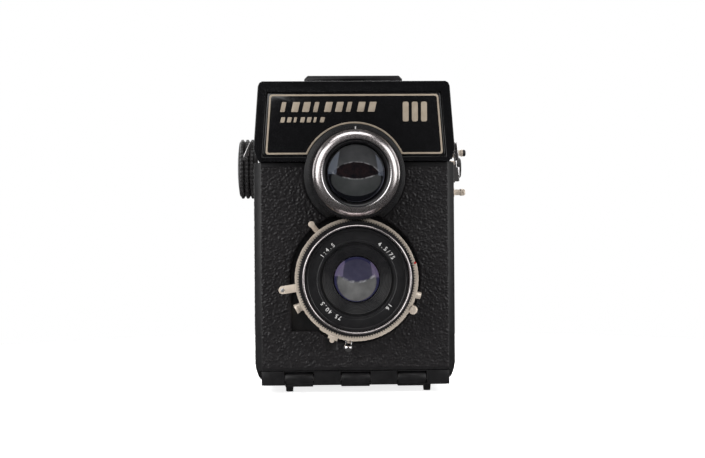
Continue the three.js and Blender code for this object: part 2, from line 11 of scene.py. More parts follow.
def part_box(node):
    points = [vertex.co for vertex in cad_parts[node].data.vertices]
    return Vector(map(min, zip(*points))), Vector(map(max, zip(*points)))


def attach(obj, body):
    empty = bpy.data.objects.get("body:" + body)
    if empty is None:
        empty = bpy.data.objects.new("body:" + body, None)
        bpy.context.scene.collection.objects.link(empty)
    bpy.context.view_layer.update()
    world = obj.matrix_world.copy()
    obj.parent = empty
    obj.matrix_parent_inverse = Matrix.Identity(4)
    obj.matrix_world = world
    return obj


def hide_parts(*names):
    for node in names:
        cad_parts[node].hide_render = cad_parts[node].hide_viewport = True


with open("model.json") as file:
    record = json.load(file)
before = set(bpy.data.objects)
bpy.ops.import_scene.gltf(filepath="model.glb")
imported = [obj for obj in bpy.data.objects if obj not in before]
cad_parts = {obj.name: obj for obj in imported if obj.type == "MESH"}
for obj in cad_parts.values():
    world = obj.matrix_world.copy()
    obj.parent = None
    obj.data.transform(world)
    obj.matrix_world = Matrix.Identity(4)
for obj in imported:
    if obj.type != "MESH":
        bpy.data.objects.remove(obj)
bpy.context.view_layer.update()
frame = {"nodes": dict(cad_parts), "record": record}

MM = 0.001


def span(node):
    """A CAD node's lowest and highest corners in millimetres."""
    lo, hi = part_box(node)
    return Vector(lo) / MM, Vector(hi) / MM


def middle_z(node):
    lo, hi = span(node)
    return (lo.z + hi.z) / 2


TAKING_Z = middle_z("taking_rim")
VIEWING_Z = middle_z("viewing_bezel")
PANEL = span("front_panel")
HOUSING = span("viewfinder_housing")
HALF_WIDTH = PANEL[1].x
KNOB = span("advance_knob")
SPOOL_Y, SPOOL_Z = (KNOB[0].y + KNOB[1].y) / 2, (KNOB[0].z + KNOB[1].z) / 2


# ---------------------------------------------------------------- materials
def colour_of(value):
    return (*value, 1.0) if len(value) == 3 else value


class Nodes:
    """A material's node tree, with object coordinates scaled to millimetres."""

    def __init__(self, name):
        self.material = bpy.data.materials.new(name)
        self.material.use_nodes = True
        self.tree = self.material.node_tree
        self.shader = self.tree.nodes["Principled BSDF"]
        coordinates = self.tree.nodes.new("ShaderNodeTexCoord")
        self.mapping = self.mapped(coordinates.outputs["Object"], (1000, 1000, 1000))

    def mapped(self, source, scale):
        node = self.tree.nodes.new("ShaderNodeMapping")
        node.inputs["Scale"].default_value = scale
        self.tree.links.new(source, node.inputs["Vector"])
        return node.outputs["Vector"]

    def noise(self, scale, detail=3.0, roughness=0.55, stretch=(1, 1, 1)):
        node = self.tree.nodes.new("ShaderNodeTexNoise")
        node.inputs["Scale"].default_value = scale
        node.inputs["Detail"].default_value = detail
        node.inputs["Roughness"].default_value = roughness
        self.tree.links.new(self.mapped(self.mapping, stretch), node.inputs["Vector"])
        return node.outputs["Fac"]

    def cells(self, scale):
        node = self.tree.nodes.new("ShaderNodeTexVoronoi")
        node.inputs["Scale"].default_value = scale
        self.tree.links.new(self.mapping, node.inputs["Vector"])
        return node.outputs["Distance"]

    def ranged(self, source, low, high, start=0.3, end=0.7):
        node = self.tree.nodes.new("ShaderNodeMapRange")
        node.inputs["From Min"].default_value = start
        node.inputs["From Max"].default_value = end
        node.inputs["To Min"].default_value = low
        node.inputs["To Max"].default_value = high
        self.tree.links.new(source, node.inputs["Value"])
        return node.outputs["Result"]

    def blend(self, factor, first, second):
        node = self.tree.nodes.new("ShaderNodeMix")
        node.data_type = "RGBA"
        for socket, value in ((node.inputs[6], first), (node.inputs[7], second)):
            if isinstance(value, tuple):
                socket.default_value = colour_of(value)
            else:
                self.tree.links.new(value, socket)
        self.tree.links.new(factor, node.inputs[0])
        return node.outputs[2]

    def distance(self, centre, squash=1.0):
        """Distance in millimetres from a point (x, z), along Z counted as if stretched by 1 / squash."""
        flat = self.mapped(self.mapping, (1, 0, 1 / squash))
        node = self.tree.nodes.new("ShaderNodeVectorMath")
        node.operation = "DISTANCE"
        self.tree.links.new(flat, node.inputs[0])
        node.inputs[1].default_value = (centre[0], 0, centre[1] / squash)
        return node.outputs["Value"]

    def disc(self, centre, radius, squash=1.0, soft=0.15):
        return self.ranged(self.distance(centre, squash), 1.0, 0.0, radius - soft, radius + soft)

    def rim(self, centre, radius, width, squash=1.0):
        away = self.distance(centre, squash)
        inside = self.ranged(away, 0.0, 1.0, radius - 2 * width, radius - width)
        return self.product(inside, self.ranged(away, 1.0, 0.0, radius + width, radius + 2 * width))

    def product(self, first, second):
        node = self.tree.nodes.new("ShaderNodeMath")
        node.operation = "MULTIPLY"
        self.tree.links.new(first, node.inputs[0])
        self.tree.links.new(second, node.inputs[1])
        return node.outputs[0]

    def inverse(self, source):
        return self.ranged(source, 1.0, 0.0, 0.0, 1.0)

    def feed(self, socket, source):
        self.tree.links.new(source, self.shader.inputs[socket])

    def bump(self, source, distance, strength=1.0):
        node = self.tree.nodes.new("ShaderNodeBump")
        node.inputs["Distance"].default_value = distance * MM
        node.inputs["Strength"].default_value = strength
        self.tree.links.new(source, node.inputs["Height"])
        previous = self.shader.inputs["Normal"].links
        if previous:
            self.tree.links.new(previous[0].from_socket, node.inputs["Normal"])
        self.tree.links.new(node.outputs["Normal"], self.shader.inputs["Normal"])

    def edges(self):
        """Bright on outward edges, where handling rubs the finish."""
        node = self.tree.nodes.new("ShaderNodeNewGeometry")
        return self.ranged(node.outputs["Pointiness"], 0.0, 1.0, 0.52, 0.62)

    def set(self, **values):
        for name, value in values.items():
            socket = self.shader.inputs[name.replace("_", " ")]
            socket.default_value = colour_of(value) if isinstance(value, tuple) else value


def painted(name, low, high, roughness, coat=0.0, grain=0.004, grain_scale=6.0, worn=None):
    """A coated surface: mottled colour, uneven gloss, fine surface texture, rubbed edges."""
    n = Nodes(name)
    base = n.blend(n.ranged(n.noise(0.35), 0, 1), low, high)
    if worn:
        scratches = n.ranged(n.noise(2.2, 4), 0.0, 0.8, 0.5, 0.7)
        base = n.blend(n.product(scratches, n.edges()), base, worn)
    n.feed("Base Color", base)
    n.feed("Roughness", n.ranged(n.noise(0.9, 5), *roughness))
    n.bump(n.noise(grain_scale, 2), grain)
    n.set(Coat_Weight=coat, Coat_Roughness=0.08)
    return n.material


def metal(name, low, high, roughness, stretch=(1, 1, 1), grain=0.003, grain_scale=4.0, metallic=1.0):
    """A plated or bare metal with smudges and fine brushing along one direction."""
    n = Nodes(name)
    n.feed("Base Color", n.blend(n.ranged(n.noise(0.3, 4), 0, 1), low, high))
    n.feed("Roughness", n.ranged(n.noise(grain_scale, 4, stretch=stretch), *roughness))
    n.bump(n.noise(grain_scale, 3, stretch=stretch), grain)
    n.set(Metallic=metallic)
    return n.material


def leatherette():
    """Black leathercloth: the pebbles are geometry, the finer grain is here."""
    n = Nodes("pebbled_leatherette")
    mottle = n.ranged(n.noise(0.5, 4), 0, 1)
    n.feed("Base Color", n.blend(mottle, (0.0075, 0.0065, 0.0075), (0.0135, 0.0118, 0.013)))
    n.feed("Roughness", n.ranged(n.noise(2.4, 4), 0.3, 0.5))
    n.bump(n.noise(5.5, 4, 0.7), 0.03, 0.6)
    n.bump(n.cells(9.0), 0.012, 0.5)
    n.set(Specular_IOR_Level=0.45)
    return n.material


def polished_glass(n, base, film):
    """Finishes a glass: smooth, coated, and tinted by a film of the given thickness in nanometres."""
    n.feed("Base Color", base)
    n.feed("Roughness", n.ranged(n.noise(0.6, 4), 0.02, 0.05))
    n.bump(n.noise(0.8, 2), 0.0004)
    n.set(IOR=1.5, Coat_Weight=0.4, Coat_Roughness=0.01, Thin_Film_Thickness=film, Thin_Film_IOR=1.38)
    return n.material


def viewing_glass():
    """Dark glass with painted reflections: the two curved images that its inner surfaces and the mirror
    throw back are painted into its colour as grey discs, darker where they overlap, with painted highlight
    arcs along their edges.
    """
    n = Nodes("viewing_glass")
    high, high_r = (0, VIEWING_Z + 17.2), 19.5
    low, low_r, squash = (0, VIEWING_Z - 2.3), 9.8, 0.68
    # Painted reflections: the grey inside these two discs is painted light, not a tint of the glass.
    upper = n.disc(high, high_r)
    lower = n.disc(low, low_r, squash)
    cloud = n.ranged(n.noise(0.16, 3), 0, 1)
    grey = n.blend(cloud, (0.034, 0.035, 0.036), (0.058, 0.058, 0.06))
    low_grey = n.blend(cloud, (0.034, 0.036, 0.036), (0.05, 0.051, 0.052))
    deep = n.blend(n.ranged(n.noise(0.5, 4), 0, 1), (0.003, 0.003, 0.004), (0.014, 0.008, 0.008))
    base = n.blend(upper, (0.004, 0.004, 0.005), grey)
    base = n.blend(lower, base, low_grey)
    base = n.blend(n.product(upper, lower), base, deep)
    # Painted highlights: noise-broken bright arcs along the rims of the two painted reflections.
    highlight_streaks = n.ranged(n.noise(0.5, 4), 0.0, 1.0, 0.42, 0.62)
    highlight_arcs = n.product(n.rim(high, high_r, 0.16), lower)
    base = n.blend(n.product(highlight_arcs, highlight_streaks), base, (0.2, 0.2, 0.205))
    highlight_arcs = n.product(n.rim(low, low_r, 0.2, squash), upper)
    base = n.blend(n.product(highlight_arcs, highlight_streaks), base, (0.16, 0.16, 0.165))
    return polished_glass(n, base, 120)


def taking_glass():
    """Violet-coated glass, darker outside 8 mm, with painted light: a pale, lit image of the shutter blades
    in its lower part, cut off above by a painted shade disc, and painted highlight arcs along that edge.
    """
    n = Nodes("taking_glass")
    cloud = n.ranged(n.noise(0.2, 3), 0, 1)
    violet = n.blend(cloud, (0.026, 0.025, 0.046), (0.045, 0.043, 0.068))
    # Painted light: the pale, lit image of the shutter blades.
    pale = n.blend(cloud, (0.075, 0.075, 0.074), (0.125, 0.125, 0.123))
    inner = n.disc((0, TAKING_Z - 0.9), 7.6)
    # Painted shade: this disc darkens the top of the pale image.
    shade, shade_r = (0, TAKING_Z + 9.4), 10.4
    cover = n.disc(shade, shade_r, soft=0.35)
    base = n.blend(n.disc((0, TAKING_Z - 0.2), 8.0), (0.02, 0.02, 0.05), violet)
    base = n.blend(n.product(inner, n.inverse(cover)), base, pale)
    # Painted highlights along the edge of the painted shade.
    highlight_arcs = n.product(n.rim(shade, shade_r, 0.3), inner)
    highlight_streaks = n.ranged(n.noise(0.45, 3), 0.0, 0.8, 0.45, 0.65)
    base = n.blend(n.product(highlight_arcs, highlight_streaks), base, (0.26, 0.26, 0.275))
    return polished_glass(n, base, 300)


def clear_glass():
    n = Nodes("ground_and_polished_glass")
    base = n.blend(n.ranged(n.noise(0.2, 2), 0, 1), (0.05, 0.055, 0.06), (0.1, 0.105, 0.11))
    return polished_glass(n, base, 200)


LEATHER = leatherette()
ENAMEL = painted("gloss_black_enamel", (0.002, 0.002, 0.0026), (0.004, 0.004, 0.0048), (0.08, 0.18),
                 coat=0.5, grain=0.0025, grain_scale=1.6, worn=(0.05, 0.05, 0.052))
SATIN = painted("satin_black_metal", (0.006, 0.006, 0.007), (0.012, 0.0115, 0.0125), (0.28, 0.42),
                grain=0.005)
TRIM = painted("black_trim", (0.006, 0.0057, 0.0063), (0.011, 0.0105, 0.0115), (0.3, 0.42), grain=0.004)
PLASTIC = painted("moulded_black_plastic", (0.018, 0.0165, 0.017), (0.032, 0.03, 0.031), (0.34, 0.5),
                  grain=0.01, grain_scale=3.2)
CHROME = metal("bright_chrome", (0.78, 0.75, 0.755), (0.86, 0.84, 0.845), (0.05, 0.14), grain=0.0015)
NICKEL = metal("satin_nickel", (0.7, 0.6, 0.5), (0.82, 0.72, 0.61), (0.34, 0.5), (1, 1, 9), metallic=0.45)
STEEL = metal("plain_steel", (0.5, 0.5, 0.51), (0.66, 0.66, 0.67), (0.24, 0.42), (6, 1, 1), metallic=0.8)
CHAMPAGNE = painted("champagne_paint", (0.33, 0.27, 0.205), (0.4, 0.335, 0.26), (0.4, 0.55), grain=0.002)
MIRROR = metal("silvered_mirror", (0.86, 0.86, 0.88), (0.9, 0.9, 0.92), (0.02, 0.05), grain=0.0005)
MARKING = painted("white_marking", (0.62, 0.61, 0.6), (0.74, 0.73, 0.72), (0.4, 0.6))
RED = painted("red_marking", (0.5, 0.02, 0.015), (0.62, 0.03, 0.02), (0.3, 0.5))
RED_GLASS = painted("red_window_glass", (0.2, 0.008, 0.008), (0.3, 0.012, 0.012), (0.05, 0.1), coat=0.6)
TAKING_GLASS = taking_glass()
VIEWING_GLASS = viewing_glass()
CLEAR_GLASS = clear_glass()
BEZEL = metal("smooth_bezel_chrome", (0.66, 0.6, 0.6), (0.78, 0.73, 0.725), (0.2, 0.32), grain=0.001)
SCREEN = painted("ground_screen", (0.34, 0.36, 0.37), (0.42, 0.43, 0.44), (0.5, 0.7), grain=0.01)

OF_SLOT = {
    "leather": LEATHER, "gloss_black": ENAMEL, "black_metal": SATIN, "black_plastic": PLASTIC,
    "chrome": CHROME, "nickel": NICKEL, "steel": STEEL, "optical_glass": SCREEN, "mirror": MIRROR,
    "red_window": RED_GLASS,
}
SLOT_OF = {row["node"]: row["material_slot"] for row in frame["record"]["subparts"]}
BODY_OF = {n: b for b, ns in frame["record"]["behaviour"]["bodies"].items() for n in ns}
for node_name, node in frame["nodes"].items():
    node.data.materials.clear()
    node.data.materials.append(OF_SLOT[SLOT_OF[node_name]])


# ---------------------------------------------------------------- mesh helpers
def finished(name, bm, material, body, slot, replaced=(), angle=34, bevel=0.0, segments=2):
    """Links a mesh given in millimetres as a piece that rides on a body."""
    bmesh.ops.remove_doubles(bm, verts=bm.verts, dist=1e-4)
    bmesh.ops.dissolve_degenerate(bm, dist=1e-5, edges=bm.edges)
    bmesh.ops.recalc_face_normals(bm, faces=bm.faces)
    bmesh.ops.scale(bm, vec=(MM, MM, MM), verts=bm.verts)
    mesh = bpy.data.meshes.new(name)
    bm.to_mesh(mesh)
    bm.free()
    made = bpy.data.objects.new(name, mesh)
    bpy.context.scene.collection.objects.link(made)
    if bevel:
        rounding = made.modifiers.new("rounding", "BEVEL")
        rounding.width = bevel * MM
        rounding.segments = segments
        rounding.limit_method = "ANGLE"
        rounding.angle_limit = radians(angle)
        view = bpy.context.evaluated_depsgraph_get()
        mesh = bpy.data.meshes.new_from_object(made.evaluated_get(view))
        made.modifiers.clear()
        made.data = mesh
    mesh.materials.clear()
    mesh.materials.append(material)
    mesh.shade_smooth()
    mesh.set_sharp_from_angle(angle=radians(angle + 2))
    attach(made, body)
    if replaced:
        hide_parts(*replaced)
    return made


def refined(node, bevel=0.3, material=None, angle=34, segments=2):
    """A CAD node's own shape with its sharp edges rounded."""
    bm = bmesh.new()
    bm.from_mesh(frame["nodes"][node].data)
    bmesh.ops.scale(bm, vec=(1 / MM, 1 / MM, 1 / MM), verts=bm.verts)
    bmesh.ops.remove_doubles(bm, verts=bm.verts, dist=1e-3)
    bmesh.ops.dissolve_limit(bm, angle_limit=radians(0.6), verts=bm.verts, edges=bm.edges)
    look = material or OF_SLOT[SLOT_OF[node]]
    return finished(f"{node}_shown", bm, look, BODY_OF[node], SLOT_OF[node], [node], angle, bevel, segments)


def bend(start, corner, end, steps):
    """Points of a short curve from start to end that leans towards the corner."""
    ratios = [k / steps for k in range(steps + 1)]
    return [start * (1 - t) ** 2 + corner * 2 * t * (1 - t) + end * t * t for t in ratios]


def filleted(points, radius, steps=4):
    """A closed outline with each corner turned into a short arc."""
    made = []
    count = len(points)
    for i, corner in enumerate(points):
        here = Vector(corner)
        before = Vector(points[i - 1]) - here
        after = Vector(points[(i + 1) % count]) - here
        reach = min(radius, 0.42 * before.length, 0.42 * after.length)
        start, end = here + before.normalized() * reach, here + after.normalized() * reach
        made += bend(start, here, end, steps)
    return made


def lathed(bm, profile, centre, segments=160, wave=None, about="y"):
    """Turns a closed profile of (radius, along) about an axis; wave(i, angle) adds to a radius."""
    rings = []
    for k in range(segments):
        a = 2 * pi * k / segments
        ring = []
        for i, (r, along) in enumerate(profile):
            radius = r + (wave(i, a) if wave else 0.0)
            u, v = radius * cos(a), radius * sin(a)
            if about == "y":
                spot = (centre[0] + u, along, centre[1] + v)
            elif about == "x":
                spot = (along, centre[0] + u, centre[1] + v)
            else:
                spot = (centre[0] + u, centre[1] + v, along)
            ring.append(bm.verts.new(spot))
        rings.append(ring)
    count = len(profile)
    for k in range(segments):
        first, second = rings[k], rings[(k + 1) % segments]
        for i in range(count):
            j = (i + 1) % count
            bm.faces.new((first[i], first[j], second[j], second[i]))
    return bm


def turned(name, profile, centre, material, node=None, body=None, slot=None, fillet=0.15, **options):
    """A lathed piece that replaces a CAD node, or that rides on a body as an addition."""
    profile = filleted(profile, fillet, 3) if fillet else profile
    bm = lathed(bmesh.new(), profile, centre, **options)
    nodes = [node] if node else []
    return finished(name, bm, material, body or BODY_OF[node], slot or SLOT_OF[node], nodes)


def plate(name, loops, y0, y1, material, body, slot, bevel=0.15, replaced=()):
    """A flat plate facing along Y from outlines in (x, z): the first is the rim, the rest are holes."""
    bm = bmesh.new()
    edges = []
    for loop in loops:
        verts = [bm.verts.new((x, y0, z)) for x, z in loop]
        edges += [bm.edges.new((verts[i - 1], verts[i])) for i in range(len(verts))]
    bmesh.ops.triangle_fill(bm, edges=edges, use_beauty=True)
    bmesh.ops.dissolve_limit(bm, angle_limit=0.01, verts=bm.verts, edges=bm.edges)
    back = bmesh.ops.extrude_face_region(bm, geom=bm.faces[:])
    moved = [v for v in back["geom"] if isinstance(v, bmesh.types.BMVert)]
    bmesh.ops.translate(bm, vec=(0, y1 - y0, 0), verts=moved)
    return finished(name, bm, material, body, slot, replaced, bevel=bevel)


def on_lens(radius, angle):
    """The point (x, z) at a radius and an angle in degrees about the taking lens."""
    a = radians(angle)
    return radius * cos(a), TAKING_Z + radius * sin(a)


# ---------------------------------------------------------------- leather
def pebbles(u, v, seed):
    """Height of the pebbled grain, 0 in its creases and 1 on its pebbles."""
    warp = noise.noise_vector(Vector((u * 0.5, v * 0.5, seed)))
    spot = Vector(((u + warp.x * 0.9) / 1.45, (v + warp.y * 0.9) / 1.1, seed))
    distances, _ = noise.voronoi(spot)
    crease = min(1.0, (distances[1] - distances[0]) * 2.2)
    return crease * (0.75 + 0.5 * noise.noise(Vector((u * 1.3, v * 1.3, seed + 9))))


def leather_sheet(name, low, high, inside, place, body, step, seed, replaced=(), lift=0.46):
    """A skin of pebbled leather over the region where inside(u, v), a distance, is positive."""
    bm = bmesh.new()
    columns = int((high[0] - low[0]) / step)
    rows = int((high[1] - low[1]) / step)
    grid = {}
    for i in range(columns + 1):
        for j in range(rows + 1):
            u = low[0] + i * (high[0] - low[0]) / columns
            v = low[1] + j * (high[1] - low[1]) / rows
            d = inside(u, v)
            if d < -0.55 * step:
                continue
            if d < 0.45 * step:
                e = 0.02
                gu = (inside(u + e, v) - inside(u - e, v)) / (2 * e)
                gv = (inside(u, v + e) - inside(u, v - e)) / (2 * e)
                size = max(1e-6, gu * gu + gv * gv)
                u, v, d = u - gu * d / size, v - gv * d / size, 0.0
            edge = min(1.0, d / 0.7)
            height = edge * (2 - edge) * lift * (0.15 + 0.85 * pebbles(u, v, seed))
            grid[i, j] = bm.verts.new(place(u, v, height))
    for i in range(columns):
        for j in range(rows):
            corners = [grid.get(k) for k in ((i, j), (i + 1, j), (i + 1, j + 1), (i, j + 1))]
            if all(corners):
                bm.faces.new(corners)
    loose = [v for v in bm.verts if not v.link_faces]
    bmesh.ops.delete(bm, geom=loose, context="VERTS")
    return finished(name, bm, LEATHER, body, "leather", replaced, angle=80)


def box_distance(u, v, low, high):
    """How far a point is inside a rectangle, negative outside it."""
    return min(u - low[0], high[0] - u, v - low[1], high[1] - v)


RECESS_R = 26.3
COLLAR_R = 20.7
CORNER = ((-25.8, TAKING_Z - 21.5), (0, TAKING_Z - 2.7))
PATCH = ((-12, 17.3), (-7.5, 21.7))
BEVEL = 2.7
SIDE_SHEET = (13, 38, 91.5)
SIDE_MARGIN = 5.0
SHOE_WINDOW = ((1.8, 85.8), (25.2, 99))
STUD_SPOT = (-6, 81.5)
STUD_CLEAR_R = 3
KNOB_CLEAR_R = {"left": 3.4, "right": 3.2}
BACK_SHEET = ((-36.5, 8), (36.5, 106.5))
BACK_SHEET_Y = 48.22
LATCH_HALF, WINDOW_HALF = 13.8, 9
SIDE_LIFT = 0.6


def on_front_panel(u, v):
    flat = HALF_WIDTH - BEVEL
    d = box_distance(u, v, (-flat, PANEL[0].z + 0.9), (flat, PANEL[1].z - 1.7))
    d = min(d, hypot(u, v - TAKING_Z) - RECESS_R)
    d = min(d, hypot(u, v - VIEWING_Z) - COLLAR_R)
    for low, high in (CORNER, PATCH):
        d = min(d, -box_distance(u, v, low, high))
    return d


def front_panel():
    refined("front_panel", 0.35, TRIM)
    y = PANEL[0].y - 0.02
    flat = HALF_WIDTH - BEVEL
    leather_sheet("front_leather", (-flat, PANEL[0].z), (flat, PANEL[1].z), on_front_panel,
                  lambda u, v, h: (u, y - h, v), "root", 0.26, 3.0)


def side_leather():
    bottom, back, top = SIDE_SHEET
    low, high = (span("body_shell")[0].y + SIDE_MARGIN, bottom), (back, top)
    for side, hand, seed in ((-1, "left", 11.0), (1, "right", 17.0)):

        def inside(u, v):
            d = box_distance(u, v, low, high)
            if hand == "right":
                d = min(d, -box_distance(u, v, *SHOE_WINDOW))
                d = min(d, hypot(u - STUD_SPOT[0], v - STUD_SPOT[1]) - STUD_CLEAR_R)
            return min(d, hypot(u - SPOOL_Y, v - SPOOL_Z) - KNOB_CLEAR_R[hand])

        leather_sheet(f"side_leather_{hand}", low, high, inside,
                      lambda u, v, h: (side * (HALF_WIDTH + 0.02 + h * SIDE_LIFT), u, v),
                      "root", 0.45, seed)


def back_leather():
    latch, window = span("door_latch"), span("window_shutter")
    low, high = BACK_SHEET

    def inside(u, v):
        d = box_distance(u, v, low, high)
        d = min(d, -box_distance(u, v, (-LATCH_HALF, latch[0].z - 1), (LATCH_HALF, 120)))
        low_window, high_window = (-WINDOW_HALF, window[0].z - 2), (WINDOW_HALF, window[1].z + 13)
        return min(d, -box_distance(u, v, low_window, high_window))

    leather_sheet("back_leather", low, high, inside,
                  lambda u, v, h: (u, BACK_SHEET_Y + h * SIDE_LIFT, v), "door", 0.45, 23.0)


# ---------------------------------------------------------------- housing and name plate
PLATE_TOP, PLATE_BOTTOM = 120.7, 96.5
PLATE_TOP_HALF, PLATE_BOTTOM_HALF = 34.0, 35.8
BAR_ROWS = ((-29.8, 9.9, 113.6, 117.6, 9), (-29.8, -11.2, 109.4, 111.5, 7))
BAR_SLANT = 0.9 / 4
COLUMN_LEFT, COLUMN_PITCH, COLUMN_WIDTH = 19.6, 3.7, 2.4
COLUMN_LOW, COLUMN_HIGH = 109.6, 117.6


def plate_outline(margin, radius=1.3):
    """The name plate's trapezoid with the bite of the viewing lens, grown by a margin."""
    top, bottom = PLATE_TOP + margin, PLATE_BOTTOM - margin
    slope = (PLATE_BOTTOM_HALF - PLATE_TOP_HALF) / (PLATE_TOP - PLATE_BOTTOM)
    half_top = PLATE_TOP_HALF + margin - slope * margin
    half_bottom = PLATE_BOTTOM_HALF + margin + slope * margin
    r = COLLAR_R - margin
    rise = bottom - VIEWING_Z
    meet = sqrt(r * r - rise * rise)
    corners = [(meet + 0.01, bottom), (half_bottom, bottom), (half_top, top), (-half_top, top),
               (-half_bottom, bottom), (-meet - 0.01, bottom)]
    soft = []
    for i, corner in enumerate(corners):
        if 0 < i < 5:
            here = Vector(corner)
            before = (Vector(corners[i - 1]) - here).normalized() * radius
            after = (Vector(corners[i + 1]) - here).normalized() * radius
            soft += bend(here + before, here, here + after, 6)
        else:
            soft.append(corner)
    to_angle = atan2(rise, meet)
    from_angle = pi - to_angle
    steps = 64
    for k in range(1, steps):
        a = from_angle + (to_angle - from_angle) * k / steps
        soft.append((r * cos(a), VIEWING_Z + r * sin(a)))
    return soft


def raised_mark(name, shape, radius, steps, face):
    plate(name, [filleted(shape, radius, steps)], face - 0.3, face - 0.05, CHAMPAGNE, "root", "chrome",
          bevel=0.04)


def name_plate():
    """The gloss plate, its gold line, and plain bars and columns that hold no letters."""
    face = span("name_plate")[0].y
    plate("name_plate_shown", [plate_outline(0.75)], face - 0.1, face + 0.4, ENAMEL, "root", "gloss_black",
          bevel=0.12, replaced=["name_plate"])
    plate("gold_line", [plate_outline(0.0), plate_outline(-0.72, 1.0)], face - 0.3, face - 0.05,
          CHAMPAGNE, "root", "chrome", bevel=0.08)
    for row, (x0, x1, z0, z1, count) in enumerate(BAR_ROWS):
        pitch = (x1 - x0) / count
        lean = BAR_SLANT * (z1 - z0)
        for k in range(count):
            left = x0 + k * pitch
            right = left + pitch * (0.62 if (k + row) % 3 else 0.4)
            shape = [(left, z0), (right, z0), (right + lean, z1), (left + lean, z1)]
            raised_mark(f"plate_bar_{row}_{k}", shape, 0.25, 2, face)
    for k in range(3):
        left = COLUMN_LEFT + COLUMN_PITCH * k
        right = left + COLUMN_WIDTH
        shape = [(left, COLUMN_LOW), (right, COLUMN_LOW), (right, COLUMN_HIGH), (left, COLUMN_HIGH)]
        raised_mark(f"plate_column_{k}", shape, 0.8, 4, face)


def label(name, text, size, place, material, body, slot, depth):
    """Generic numerals as raised geometry; place turns a point of the flat text into one here."""
    curve = bpy.data.curves.new(name, "FONT")
    curve.body = text
    curve.size = size
    curve.extrude = depth / 2
    curve.align_x = "CENTER"
    curve.align_y = "CENTER"
    text_object = bpy.data.objects.new(name, curve)
    bpy.context.scene.collection.objects.link(text_object)
    view = bpy.context.evaluated_depsgraph_get()
    mesh = bpy.data.meshes.new_from_object(text_object.evaluated_get(view))
    bpy.data.objects.remove(text_object)
    bm = bmesh.new()
    bm.from_mesh(mesh)
    for v in bm.verts:
        v.co = place(v.co.x, v.co.y, v.co.z)
    return finished(name, bm, material, body, slot)


NUMERALS = ((135, "1:4.5"), (44, "4.5/75"), (-41, "16"), (-130, "75 40.5"))
NUMERAL_R, NUMERAL_SIZE, NUMERAL_DEPTH = 16.3, 2.3, 0.06
NUMERAL_SPREAD = 5.2


def lens_markings():
    """Generic numerals around the front of the taking lens."""
    y = span("lens_face_ring")[0].y
    for k, (angle, text) in enumerate(NUMERALS):
        for i, letter in enumerate(text):
            if letter == " ":
                continue
            a = radians(angle + NUMERAL_SPREAD * ((len(text) - 1) / 2 - i))

            def place(x, z, d):
                radial = NUMERAL_R + z
                return Vector((radial * cos(a) + x * sin(a), y - 0.04 - d,
                               TAKING_Z + radial * sin(a) - x * cos(a)))

            label(f"lens_numeral_{k}_{i}", letter, NUMERAL_SIZE, place, MARKING, "taking_cell", "chrome",
                  NUMERAL_DEPTH)


# ---------------------------------------------------------------- lenses
def dome(name, node, material, bulge):
    """A lens element whose front face is a shallow dome."""
    rings = 14
    lo, hi = span(node)
    radius = (hi.x - lo.x) / 2
    centre = ((lo.x + hi.x) / 2, (lo.z + hi.z) / 2)
    front = lo.y
    profile = []
    for k in range(rings + 1):
        r = radius * k / rings
        profile.append((r, front + bulge * (r / radius) ** 2))
    profile += [(radius, front + bulge + 0.8), (0.0, front + bulge + 0.8)]
    bm = lathed(bmesh.new(), profile, centre, 128)
    return finished(name, bm, material, BODY_OF[node], SLOT_OF[node], [node])


def gear(name, node, teeth, inner, centre_z, start):
    """A focusing ring's flat-topped teeth, cut at the pitch that keeps the two rings in mesh."""
    lo, hi = span(node)
    tip = (hi.x - lo.x) / 2
    depth = 0.62
    profile = [(tip - 0.15, lo.y), (tip, lo.y + 0.25), (tip, hi.y - 0.25), (tip - 0.15, hi.y),
               (inner, hi.y), (inner, lo.y)]
    per_tooth = 8
    heights = (0.0, 0.0, 0.7, 1.0, 1.0, 1.0, 1.0, 0.7)

    def wave(i, angle):
        if i > 3:
            return 0.0
        phase = ((angle - start) / (2 * pi) * teeth) % 1.0
        return -depth * heights[int(round(phase * per_tooth)) % per_tooth]

    bm = lathed(bmesh.new(), profile, (0, centre_z), teeth * per_tooth, wave)
    return finished(name, bm, SATIN, BODY_OF[node], SLOT_OF[node], [node], angle=30)


